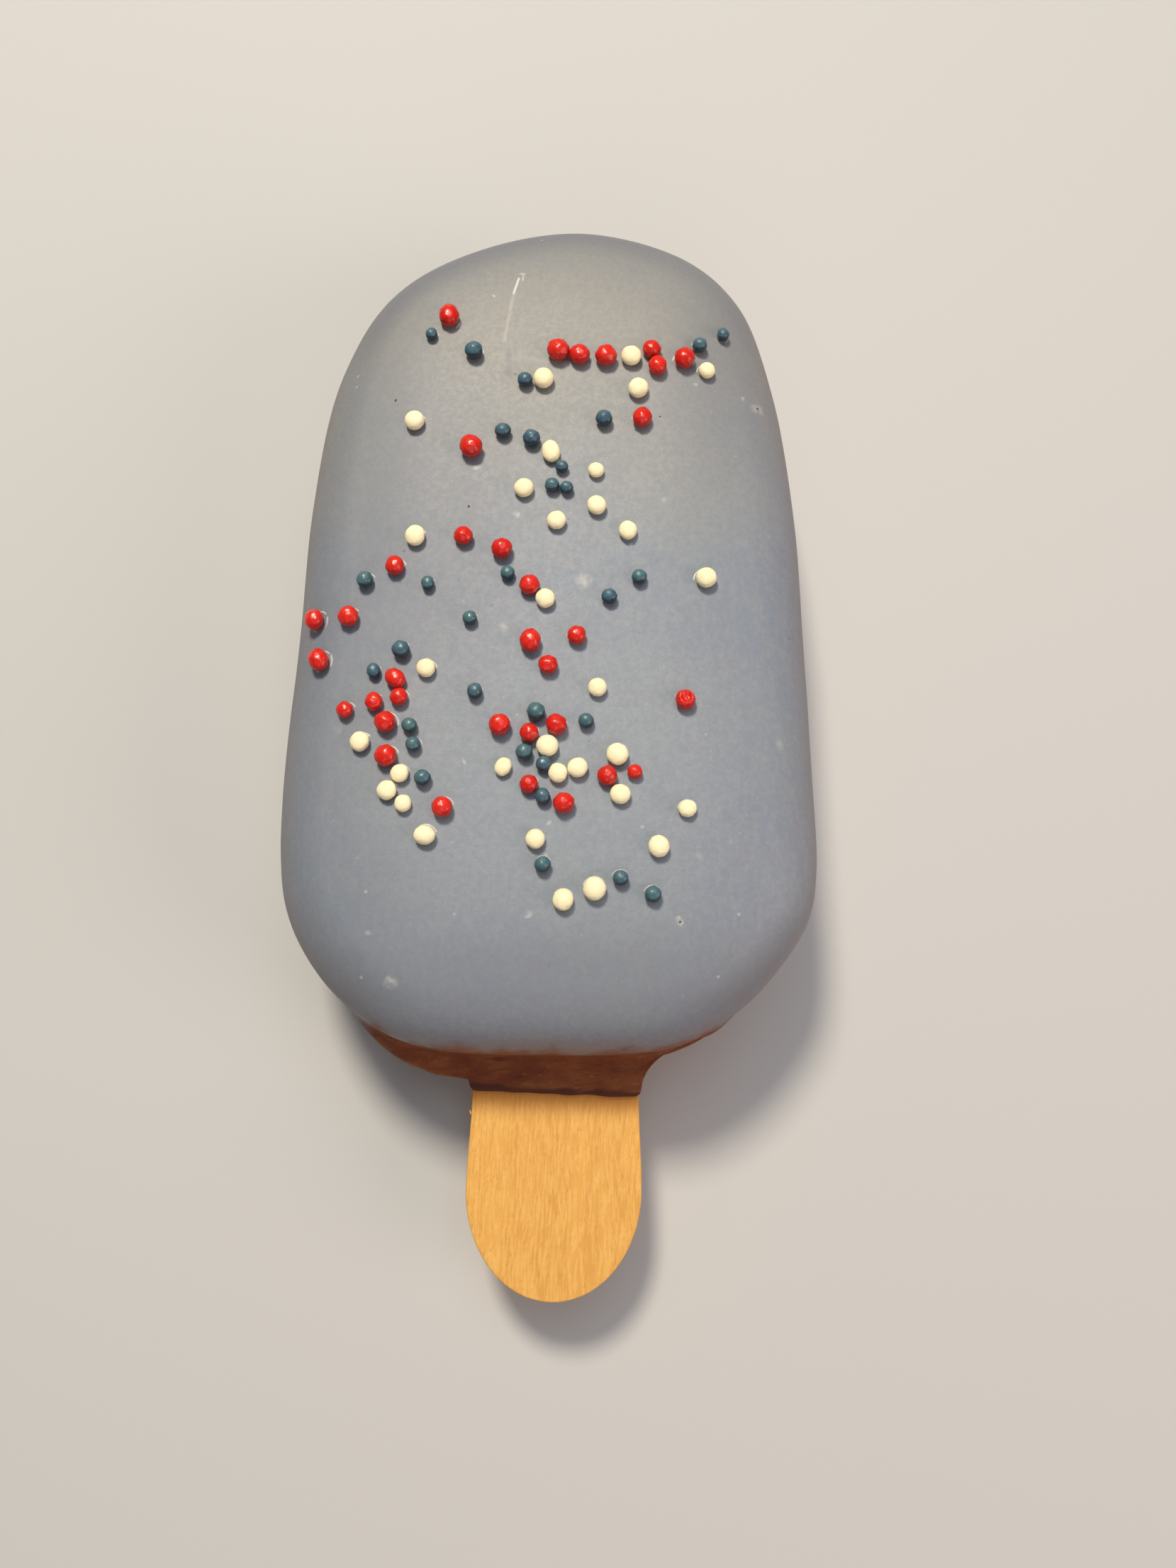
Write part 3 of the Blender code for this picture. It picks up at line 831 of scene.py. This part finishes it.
# thin scuffs: the two ends in millimetres, width and how strong; a negative strength darkens
scuffs = [
    ((-4.0, 44.8), (-4.45, 43.0), 0.2, 1.0), ((-3.55, 45.1), (-3.6, 44.6), 0.14, 0.6),
    ((-4.45, 43.0), (-5.2, 37.4), 0.28, 0.2), ((-4.8, 36.2), (-4.7, 33.9), 0.5, -0.4),
    ((-1.8, 45.6), (-1.7, 44.8), 0.3, -0.2),
]
coatingLook = {
    "base": (0.215, 0.255, 0.325, 1),
    "paler": (0.245, 0.281, 0.332, 1),
    # colours laid over the base, and how strongly
    "greener": ((0.223, 0.272, 0.306, 1), 0.5),
    "purpler": ((0.249, 0.263, 0.318, 1), 0.5),
    "streak": ((0.273, 0.304, 0.34, 1), 0.5),
    # painted light pooled in the middle of the face
    "middle": ((0.275, 0.315, 0.366, 1), 0.55),
    # painted warm sheen towards the top of the face
    "warmSheen": ((0.296, 0.287, 0.255, 1), 0.75),
    # painted shade with warm reflected floor light, down the walls below the rim
    "edge": ((0.19, 0.145, 0.14, 1), 0.6),
    # the grain's dark colour, which the painted shade zones also darken towards, and how strongly the grain
    # lays it
    "grain": ((0.165, 0.184, 0.226, 1), 0.34),
    # their patches: how many a metre, from and to which noise, detail and roughness
    "clouds": (55.0, 0.35, 0.65, 3.0),
    "greenerPatches": (90.0, 0.5, 0.72),
    "purplerPatches": (380.0, 0.48, 0.7),
    "streaks": (1300.0, 0.4, 0.66, 3.0, 0.7),
    "ripples": (900.0, 2.0, 0.006 * mm),
    # where the painted light in the middle lies: its middle, and where it starts and is full
    "middleLightPool": ((-0.5, 24.0), 26 * mm, 6 * mm),
    # where the painted warm sheen towards the top starts and is full
    "warmSheenFrom": (12 * mm, 46 * mm),
    "lowerWallShadeFrom": (22.6 * mm, 16.0 * mm),
    # zones of painted shade on the face's left, its upper right, its top rim and its lower end, each of bands
    # across an axis: axis, from and to in millimetres, and the strength at each
    "paintedShadeZones": (
        (("x", -4, -17, 0.0, 0.27),),
        (("x", 6, 18, 0.0, 1.0), ("y", 14, 42, 0.0, 0.42)),
        (("z", 23.6, 21.0, 0.0, 1.0), ("y", 28, 44, 0.0, 1.0), ("x", 18, 4, 0.62, 0.85)),
        (("y", -18.5, -24.5, 0.0, 0.42), ("y", -30.5, -26.5, 0.0, 1.0)),
        (("z", 20.0, 17.0, 0.0, 0.9), ("y", -26.0, -29.0, 0.0, 1.0)),
    ),
    # a soft spot of painted shade on the left of the face
    "paintedShadeSpot": ((-12 * mm, 8 * mm, 0.0), 0.45, 12 * mm, 3 * mm, 0.5),
    # layers of dots: shift, cells per metre, how rare, colour and strength
    "dots": (
        (0.0, 330.0, 0.57, "speck", 0.6), (0.5, 330.0, 0.5, "fleck", 0.5),
        (0.2, 800.0, 0.52, "speck", 0.32), (0.8, 700.0, 0.48, "fleck", 0.34),
    ),
    "speck": (0.08, 0.08, 0.09, 1),
    "fleck": (0.55, 0.55, 0.54, 1),
    "bloom": (0.62, 0.62, 0.6, 1),
    "scuffDark": (0.16, 0.17, 0.2, 1),
    "pinhole": (0.03, 0.025, 0.025, 1),
    "roughness": 0.5,
    "lipRoughness": 0.2,
    # painted highlight on the lips round the pearls, and how strongly
    "lipHighlight": ((0.78, 0.75, 0.72, 1), 0.6),
}
# painted shade with warm reflected light on the collar and on the wall behind it, partly the thin coating
# showing the cake through
collarShadeLook = {
    "dark": (0.17, 0.034, 0.004, 1),
    "pale": (0.26, 0.074, 0.012, 1),
    # the deep colour of the painted shadow along the collar's end, also used for darker smudges
    "end": (0.065, 0.008, 0.001, 1),
    # colour of the painted glints on the collar
    "fleck": (0.42, 0.27, 0.19, 1),
    "smears": (620.0, 0.36, 0.7, 4.0, 0.65),
    "smudges": (1500.0, 0.6, 0.72, 2.0, 0.6),
    "glintPatches": (4200.0, 0.68, 0.8, 1.0, 0.5, 0.45),
    "ragged": (240.0, 4.0, 0.6),
    "raggedAlong": 5 * mm,
    "raggedUp": 9 * mm,
    "wallTop": 3.6,               # where the painted collar shade starts, and the collar's end, from the cake's lower end
    "collarEnd": -3.62,
    "fade": 2.2 * mm,
    "levels": (18.6 * mm, 14.8 * mm),
    "rougher": 0.25,
}


def faceSpot(tree, flat, x, y, radius):
    distance = vectorCalc(tree, "DISTANCE", flat, (x * mm, y * mm, 0.0))
    return spanOf(tree, distance, radius * mm, 0.2 * radius * mm)


def faceLine(tree, flat, start, end, width):
    first, last = (Vector((x * mm, y * mm, 0.0)) for x, y in (start, end))
    along = (last - first).normalized()
    fromFirst = vectorCalc(tree, "SUBTRACT", flat, tuple(first))
    run = vectorCalc(tree, "DOT_PRODUCT", fromFirst, tuple(along))
    run = addNode(tree, "ShaderNodeClamp", {0: run, 1: 0.0, 2: (last - first).length}).outputs[0]
    nearest = vectorCalc(tree, "SCALE", tuple(along), scale=run)
    distance = vectorCalc(tree, "DISTANCE", fromFirst, nearest)
    return spanOf(tree, distance, width * mm, 0.2 * width * mm)


def anyOf(tree, masks):
    joined = masks[0]
    for mask in masks[1:]:
        joined = larger(tree, joined, mask)
    return joined


def coatingMarks(tree, place, split):
    # masks for the pale spots and scuffs, the dark scuffs and the pinholes, all on the front face only
    flat = combined(tree, split[0], split[1])
    wobble = wobbleOf(tree, place, 900.0, 2.0, 0.9 * mm)
    smeared = vectorCalc(tree, "MULTIPLY", vectorCalc(tree, "ADD", place, wobble), (1.0, 1.0, 0.0))
    onFace = spanOf(tree, split[2], 19 * mm, 21 * mm)
    broken = spanOf(tree, noiseOf(tree, place, 1500.0), 0.3, 0.65, 0.25, 1.0)
    spots = [times(tree, faceSpot(tree, smeared, x, y, radius), strength)
             for x, y, radius, strength in bloomSpots]
    spots = times(tree, anyOf(tree, spots), broken)
    lines = {True: [], False: []}
    for start, end, width, strength in scuffs:
        line = faceLine(tree, flat, start, end, width)
        lines[strength > 0].append(times(tree, line, abs(strength)))
    holes = anyOf(tree, [faceSpot(tree, flat, x, y, 0.8 * dark) for x, y, _, dark in bubbleMarks])
    pale = larger(tree, spots, anyOf(tree, lines[True]))
    return [times(tree, mask, onFace) for mask in (pale, anyOf(tree, lines[False]), holes)]


# painted shade: the zones and the spot, as one mask
def paintedShadeOnCoating(tree, place, split):
    middle, squash, farthest, nearest, strength = coatingLook["paintedShadeSpot"]
    flatter = vectorCalc(tree, "MULTIPLY", place, (1.0, squash, 0.0))
    spot = spanOf(tree, vectorCalc(tree, "DISTANCE", flatter, middle), farthest, nearest, 0.0, strength)
    return anyOf(tree, [zoneOf(tree, split, bands) for bands in coatingLook["paintedShadeZones"]] + [spot])


def scatteredDots(tree, place, colour):
    # scattered dark specks and pale flecks
    for shift, perMetre, rare, tint, strength in coatingLook["dots"]:
        moved = vectorCalc(tree, "ADD", place, (shift, 0.0, 0.0))
        cells = addNode(tree, "ShaderNodeTexVoronoi", {"Vector": moved, "Scale": perMetre}).outputs[0]
        few = spanOf(tree, noiseOf(tree, moved, perMetre, 0.0), rare, rare + 0.05)
        dots = times(tree, spanOf(tree, cells, 0.08, 0.02), few)
        colour = tinted(tree, colour, dots, coatingLook[tint], strength)
    return colour


def collarShadeOnCoating(tree, place, split):
    # the collar's painted shade, brown and smeared crossways, with a painted shadow along its end; returns
    # it, the mask of where it is, and its smears
    look = collarShadeLook
    ragged = calc(tree, "SUBTRACT", noiseOf(tree, place, *look["ragged"]), 0.5)
    along = calc(tree, "MULTIPLY_ADD", ragged, look["raggedAlong"], split[1])
    level = calc(tree, "MULTIPLY_ADD", ragged, look["raggedUp"], split[2])
    wallTop = float(fromCakeEnd(0.0, look["wallTop"])[1])
    below = spanOf(tree, along, wallTop, wallTop - look["fade"])
    there = times(tree, below, spanOf(tree, level, *look["levels"]))
    stretched = vectorCalc(tree, "MULTIPLY", place, (0.4, 1.0, 1.0))
    smears = patchesOf(tree, stretched, *look["smears"])
    collarShade = mixColours(tree, smears, look["dark"], look["pale"])
    smudges = patchesOf(tree, vectorCalc(tree, "MULTIPLY", place, (0.18, 1.0, 1.0)), *look["smudges"])
    collarShade = tinted(tree, collarShade, smudges, look["end"], 0.6)
    # painted glints on the collar
    collarShade = tinted(tree, collarShade, patchesOf(tree, stretched, *look["glintPatches"]), look["fleck"])
    # a painted shadow along the collar's end
    endLine = calc(tree, "MULTIPLY_ADD", split[0], 0.04, split[1])
    endLine = calc(tree, "MULTIPLY_ADD", smears, 0.25 * mm, endLine)
    collarEnd = float(fromCakeEnd(0.0, look["collarEnd"])[1])
    atEnd = spanOf(tree, endLine, collarEnd + 0.8 * mm, collarEnd + 0.25 * mm)
    return tinted(tree, collarShade, atEnd, look["end"], 0.95), there, smears


def makeCoatingMaterial(grainGroup):
    look = coatingLook
    material, tree, shader = newMaterial("dustyBlueCoating")
    place = objectPlace(tree)
    split = addNode(tree, "ShaderNodeSeparateXYZ", {0: place}).outputs
    # broad cloudy blotches, other tints in places, and faint streaks running down the bar
    clouds = patchesOf(tree, place, *look["clouds"])
    colour = mixColours(tree, clouds, look["base"], look["paler"])
    elsewhere = vectorCalc(tree, "ADD", place, (0.3, 0.1, 0.0))
    drawn = vectorCalc(tree, "MULTIPLY", place, (1.0, 0.4, 1.0))
    for where, pattern, tint in ((elsewhere, "greenerPatches", "greener"),
                                 (place, "purplerPatches", "purpler"), (drawn, "streaks", "streak")):
        colour = tinted(tree, colour, patchesOf(tree, where, *look[pattern]), *look[tint])
    # painted light in the middle of the face, a painted warm sheen towards its top, painted shade in zones
    # near the rim and at the sides
    middle, farthest, nearest = look["middleLightPool"]
    middle = tuple(fromCakeEnd(*middle)) + (coating["filletCentre"],)
    fromMiddle = vectorCalc(tree, "DISTANCE", place, middle)
    colour = tinted(tree, colour, spanOf(tree, fromMiddle, farthest, nearest), *look["middle"])
    upper = calc(tree, "MULTIPLY_ADD", clouds, 6 * mm, split[1])
    colour = tinted(tree, colour, spanOf(tree, upper, *look["warmSheenFrom"]), *look["warmSheen"])
    grainAndShadeDark, grainStrength = look["grain"]
    # painted shade, darkening towards the grain's dark colour
    colour = mixColours(tree, paintedShadeOnCoating(tree, place, split), colour, grainAndShadeDark)
    grain, normal = useGrain(tree, grainGroup, place, 0.17 * mm, 0.005 * mm)
    colour = tinted(tree, colour, grain, grainAndShadeDark, grainStrength)
    colour = scatteredDots(tree, place, colour)
    # painted shade with warm reflected floor light down the walls below the rim
    colour = tinted(tree, colour, spanOf(tree, split[2], *look["lowerWallShadeFrom"]), *look["edge"])
    pale, dark, holes = coatingMarks(tree, place, split)
    for mask, tint in ((pale, "bloom"), (dark, "scuffDark"), (holes, "pinhole")):
        colour = mixColours(tree, mask, colour, look[tint])
    # painted shade with warm reflected light on the collar and the wall behind it
    collarShade, collarShadeMask, smears = collarShadeOnCoating(tree, place, split)
    colour = tinted(tree, colour, collarShadeMask, collarShade, 0.97)
    # satin, with the lips round the pearls glossier and given a painted highlight
    lip = addNode(tree, "ShaderNodeAttribute", attribute_name="lip").outputs["Fac"]
    glossy = spanOf(tree, lip, 0.0, 0.03 * mm)
    colour = tinted(tree, colour, glossy, *look["lipHighlight"])
    rough = spanOf(tree, glossy, 0.0, 1.0, look["roughness"], look["lipRoughness"])
    rough = calc(tree, "MULTIPLY_ADD", collarShadeMask, collarShadeLook["rougher"], rough)
    rough = calc(tree, "MULTIPLY_ADD", grain, 0.05, rough)
    perMetre, detail, depth = look["ripples"]
    normal = bumped(tree, noiseOf(tree, drawn, perMetre, detail), depth, normal)
    dents = calc(tree, "SUBTRACT", pale, times(tree, holes, 2.0))
    dents = calc(tree, "ADD", dents, times(tree, times(tree, smears, collarShadeMask), 2.5))
    dress(tree, shader, colour, rough, bumped(tree, dents, 0.03 * mm, normal))
    return material


# the sugar's patterns: how many a metre, from and to which noise, detail and roughness
sugar = {
    "mottle": (1500.0, 0.45, 0.75, 3.0, 0.6),
    "patches": (2300.0, 0.5, 0.66),
    # where the painted light on the lamp's side and the painted shade on the far side start and are full
    "litSideFrom": (0.62, 1.05),
    "shadedSideFrom": (0.42, 0.12),
}


def makePearlMaterial(name, grainGroup, finish):
    # the finish gives two colours that the pearls vary between, a mottle, painted light on the side facing
    # the lamp and painted shade on the side away from it
    material, tree, shader = newMaterial(name)
    place = objectPlace(tree)
    tone, towardLamp = (addNode(tree, "ShaderNodeAttribute", attribute_name=label).outputs["Fac"]
                    for label in ("tone", "towardLamp"))
    colour = mixColours(tree, tone, finish["first"], finish["second"])
    mottle = patchesOf(tree, place, *sugar["mottle"])
    patches = patchesOf(tree, vectorCalc(tree, "ADD", place, (0.4, 0.0, 0.0)), *sugar["patches"])
    towardLamp = calc(tree, "MULTIPLY_ADD", mottle, 0.2, towardLamp)
    for mask, key in ((mottle, "mottle"), (patches, "patches"),
                      (spanOf(tree, towardLamp, *sugar["litSideFrom"]), "top"),
                      (spanOf(tree, towardLamp, *sugar["shadedSideFrom"]), "shadedSide")):
        colour = tinted(tree, colour, mask, *finish[key])
    grain, normal = useGrain(tree, grainGroup, place, finish["grainSize"], finish["grainDepth"])
    dress(tree, shader, colour, spanOf(tree, grain, 0.0, 1.0, *finish["roughness"]), normal)
    return material


# colours laid over the first two are followed by how strongly
redFinish = {
    "first": (0.61, 0.013, 0.008, 1),
    "second": (0.71, 0.022, 0.013, 1),
    "mottle": ((0.46, 0.007, 0.006, 1), 0.6),
    "patches": ((0.8, 0.05, 0.022, 1), 0.28),
    # top: painted light on the side facing the lamp; the next, painted shade on the side away from it
    "top": ((0.8, 0.06, 0.03, 1), 0.25),
    "shadedSide": ((0.3, 0.004, 0.005, 1), 0.3),
    "grainSize": 0.13 * mm,
    "grainDepth": 0.0035 * mm,
    "roughness": (0.22, 0.34),
}
creamFinish = {
    "first": (0.97, 0.88, 0.57, 1),
    "second": (0.98, 0.91, 0.62, 1),
    "mottle": ((0.97, 0.82, 0.48, 1), 0.35),
    "patches": ((0.98, 0.93, 0.68, 1), 0.4),
    # top: painted light on the side facing the lamp; the next, painted shade on the side away from it
    "top": ((0.98, 0.93, 0.67, 1), 0.4),
    "shadedSide": ((0.98, 0.78, 0.42, 1), 0.12),
    "grainSize": 0.16 * mm,
    "grainDepth": 0.006 * mm,
    "roughness": (0.6, 0.72),
}
tealFinish = {
    "first": (0.062, 0.155, 0.18, 1),
    "second": (0.047, 0.105, 0.164, 1),
    "mottle": ((0.022, 0.056, 0.073, 1), 0.7),
    "patches": ((0.09, 0.19, 0.215, 1), 0.3),
    # top: painted light on the side facing the lamp; the next, painted shade on the side away from it
    "top": ((0.11, 0.2, 0.225, 1), 0.6),
    "shadedSide": ((0.01, 0.024, 0.036, 1), 0.75),
    "grainSize": 0.14 * mm,
    "grainDepth": 0.007 * mm,
    "roughness": (0.27, 0.4),
}
woodLook = {
    "lean": math.radians(1.5),
    "dark": (0.66, 0.33, 0.066, 1),
    "pale": (0.73, 0.385, 0.082, 1),
    # colours laid over the first two, and how strongly
    "fibre": ((0.86, 0.51, 0.142, 1), 0.62),
    "pore": ((0.36, 0.15, 0.035, 1), 0.36),
    # painted shadow of the collar on the stick just below it
    "collarShadow": ((0.6, 0.22, 0.024, 1), 0.7),
    # patterns along the grain: how drawn out, how many a metre, from and to which noise, and detail
    "bands": (0.08, 500.0, 0.35, 0.68, 3.0),
    "fibres": (0.1, 4000.0, 0.38, 0.62, 3.0),
    "pores": (0.16, 7600.0, 0.58, 0.7, 2.0),
    "dust": (2400.0, 0.3, 0.7, 2.0, 0.6, 0.3),
    "collarEnd": -3.9,
    "collarShadowFrom": (2.2 * mm, 0.2 * mm),
    "roughness": (0.68, 0.56),
}


def makeWoodMaterial(grainGroup):
    look = woodLook
    material, tree, shader = newMaterial("birchStick")
    place = objectPlace(tree)
    leaning = addNode(tree, "ShaderNodeVectorRotate", {"Vector": place, "Angle": look["lean"]},
                      rotation_type="Z_AXIS").outputs[0]
    wood = vectorCalc(tree, "ADD", leaning, wobbleOf(tree, place, 90.0, 1.0, 0.7 * mm))
    masks = {}
    for name in ("bands", "fibres", "pores"):
        along, perMetre, low, high, detail = look[name]
        drawn = vectorCalc(tree, "MULTIPLY", wood, (1.0, along, 0.7))
        masks[name] = patchesOf(tree, drawn, perMetre, low, high, detail, 0.6)
    colour = mixColours(tree, masks["bands"], look["dark"], look["pale"])
    colour = tinted(tree, colour, masks["fibres"], *look["fibre"])
    colour = tinted(tree, colour, masks["pores"], *look["pore"])
    colour = tinted(tree, colour, patchesOf(tree, wood, *look["dust"]), look["dark"])
    along = addNode(tree, "ShaderNodeSeparateXYZ", {0: wood}).outputs[1]
    # painted shadow of the collar on the stick, just below the collar's end
    collarEnd = float(fromCakeEnd(0.0, look["collarEnd"])[1])
    low, high = (collarEnd - below for below in look["collarShadowFrom"])
    colour = tinted(tree, colour, spanOf(tree, along, low, high), *look["collarShadow"])
    normal = useGrain(tree, grainGroup, place, 0.2 * mm, 0.003 * mm)[1]
    rough = spanOf(tree, masks["fibres"], 0.0, 1.0, *look["roughness"])
    dress(tree, shader, colour, rough, bumped(tree, masks["fibres"], 0.012 * mm, normal))
    return material


print("coating")
grainGroup = buildGrainGroup()
coatingPiece = makeCoating()
coatingMaterial = makeCoatingMaterial(grainGroup)
coatingPiece.data.materials.append(coatingMaterial)

print("stick")
stickPiece = makeStick()
stickPiece.data.materials.append(makeWoodMaterial(grainGroup))
slots = {coatingPiece: "candy_coating", stickPiece: "stick_wood"}

print("pearls")
bpy.context.view_layer.update()
surface = BVHTree.FromObject(coatingPiece, bpy.context.evaluated_depsgraph_get())
pearlTree = buildPearlTree()
# for each colour: its pearls, its finish, how flat its facets, how deep its lumps and how round its pearls
kinds = {
    "red": (redPearls, redFinish, 0.6, 0.24, 0.86),
    "cream": (creamPearls, creamFinish, 0.8, 0.13, 0.74),
    "teal": (tealPearls, tealFinish, 0.5, 0.22, 0.95),
}
everyPearl = []
for seed, (kind, (rows, finish, facets, lumpDepth, roundness)) in enumerate(kinds.items()):
    laid = layPearls(surface, rows, seed + 1, facets, roundness)
    everyPearl += laid
    seeds = seedMesh("pearls_" + kind, laid, "middle", (
        "middle", "radius", "size", "turn", "facet", "otherFacet", "crater", "tone"))
    piece = growPiece("pearls_" + kind, seeds, pearlTree, {
        "Fineness": pearls["fineness"], "Lump Depth": lumpDepth, "Lump Size": pearls["lumpSize"],
        "Pit Depth": pearls["pitDepth"], "Pit Size": pearls["pitSize"],
        "Facet Level": pearls["facetLevel"], "Facet Softness": pearls["facetSoftness"],
        "Crater Width": pearls["craterWidth"], "Toward Lamp": pearls["towardLamp"],
        "Material": makePearlMaterial("pearls_" + kind, grainGroup, finish)})
    slots[piece] = "pearl_" + kind

print("lips of coating round the pearls")
lipSeeds = seedMesh("coating_lips", everyPearl + layMarks(surface), "foot", ("radius", "tilt", "lip", "tone"))
lipPiece = growPiece("coating_lips", lipSeeds, buildLipTree(), {
    "Ring Steps": lips["ringSteps"], "Section Steps": lips["sectionSteps"], "Reach": lips["reach"],
    "Half Width": lips["halfWidth"], "Waviness": lips["waviness"], "Wave Size": lips["waveSize"],
    "Material": coatingMaterial})
slots[lipPiece] = "candy_coating"

for piece, slotName in slots.items():
    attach(piece, "root")
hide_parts("coated_cake")
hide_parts("stick")

print("floor, lamps and camera")
stage = {
    "floorSize": 1.6,
    "floorColour": (0.55, 0.56, 0.57, 1),
    "floorRoughness": 0.9,
    "skyColour": (0.88, 0.92, 1.0, 1),
    "skyStrength": 0.11,
}
# lamps: degrees left of the top, degrees up, distance, size, watts and colour
lamps = {
    "key": (19.0, 58.5, 0.6, 0.12, 3.3, (1.0, 0.88, 0.7)),
    "overhead": (-20.0, 72.0, 0.5, 0.3, 0.45, (0.8, 0.91, 1.0)),
    "rightFill": (-112.0, 30.0, 0.5, 0.3, 0.86, (1.0, 0.78, 0.68)),
    "lowFill": (180.0, 40.0, 0.5, 0.3, 0.32, (1.0, 0.88, 0.82)),
}


def makeFloor():
    half = stage["floorSize"] / 2
    floor = meshPiece("floor", [(-half, -half, 0), (half, -half, 0), (half, half, 0), (-half, half, 0)],
                      [(0, 1, 2, 3)])
    material, _, shader = newMaterial("paleFloor")
    shader.inputs["Base Color"].default_value = stage["floorColour"]
    shader.inputs["Roughness"].default_value = stage["floorRoughness"]
    floor.data.materials.append(material)


def makeLights():
    for name, (around, up, distance, size, watts, colour) in lamps.items():
        light = bpy.data.lights.new(name, "AREA")
        light.shape = "DISK"
        light.size = size
        light.energy = watts
        light.color = colour
        lamp = bpy.data.objects.new(name, light)
        aim = Vector((0.0, math.cos(math.radians(up)), math.sin(math.radians(up))))
        aim.rotate(Euler((0.0, 0.0, math.radians(around))))
        lamp.location = aim * distance
        lamp.rotation_euler = aim.to_track_quat("Z", "Y").to_euler()
        bpy.context.scene.collection.objects.link(lamp)
    world = bpy.data.worlds.new("softSky")
    world.use_nodes = True
    sky = world.node_tree.nodes["Background"]
    sky.inputs["Color"].default_value = stage["skyColour"]
    sky.inputs["Strength"].default_value = stage["skyStrength"]
    bpy.context.scene.world = world


view = {
    "lens": 27.05,
    "place": (4.09 * mm, -29.97 * mm, 129.1 * mm),
    "tilt": math.radians(12.0),
    "lean": math.radians(0.83),
}


def makeCamera():
    lens = bpy.data.cameras.new("camera")
    lens.lens = view["lens"]
    lens.sensor_width = 36.0
    lens.clip_start = 0.01
    camera = bpy.data.objects.new("camera", lens)
    camera.location = view["place"]
    camera.rotation_euler = (view["tilt"], 0.0, view["lean"])
    bpy.context.scene.collection.objects.link(camera)
    bpy.context.scene.camera = camera


makeFloor()
makeLights()
makeCamera()
bpy.context.scene.view_settings.view_transform = "Standard"
